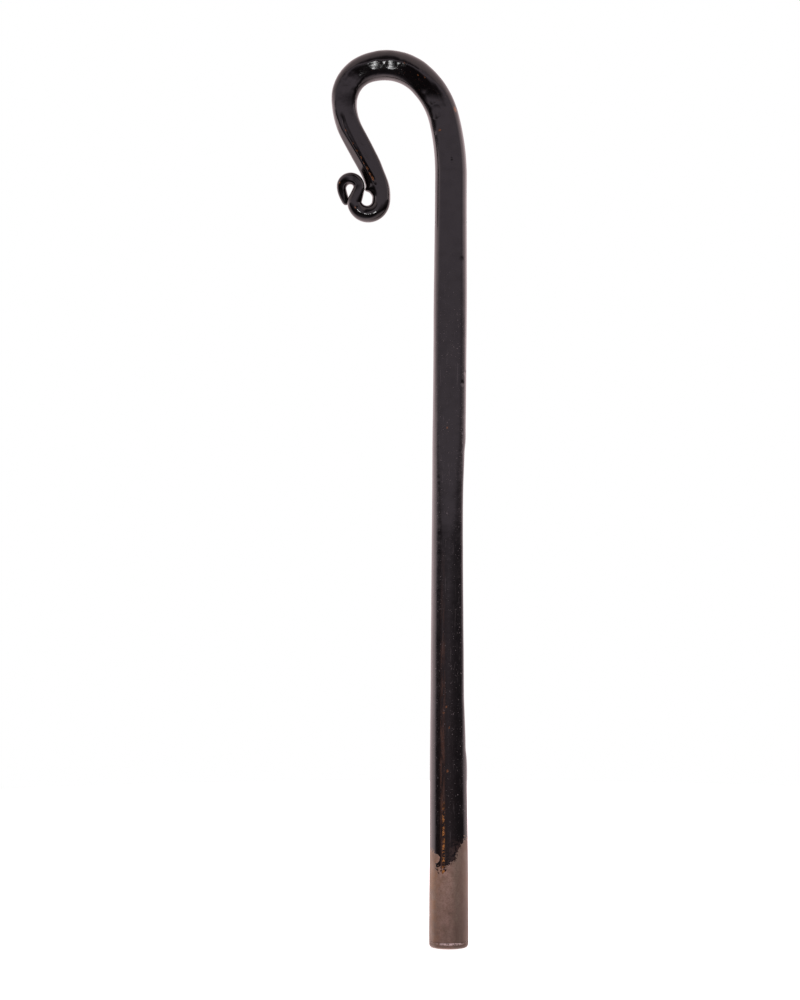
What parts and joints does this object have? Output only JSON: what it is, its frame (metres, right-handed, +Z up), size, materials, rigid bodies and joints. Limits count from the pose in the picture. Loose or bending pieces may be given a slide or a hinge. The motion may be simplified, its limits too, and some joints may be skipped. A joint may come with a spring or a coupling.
{
  "type": "single point cane",
  "caption": "Forged steel walking cane with a crook handle ending in a small scroll, a hammered tube shaft and a bare flat foot.",
  "frame": {"origin": "centre of the flat bottom face of the foot", "axes": "+Z up along the shaft, crook opens towards -X, front faces -Y"},
  "size_m": [0.1327, 0.038, 0.8691],
  "materials": {
    "black_paint": "gloss black paint over hammered steel, worn to brown in places",
    "bare_steel": "bare steel with a light brown rust film",
    "pin_steel": "bare mild steel",
    "weld_steel": "weld bead, ground bright"
  },
  "bodies": {
    "root": {"crook_handle": "black_paint", "neck_weld": "black_paint", "neck_pin_upper": "pin_steel", "neck_pin_lower": "pin_steel", "shaft_tube": "black_paint", "foot_sleeve": "bare_steel", "foot_pin": "pin_steel", "foot_plug": "bare_steel", "foot_weld": "weld_steel"}
  },
  "joints": []
}
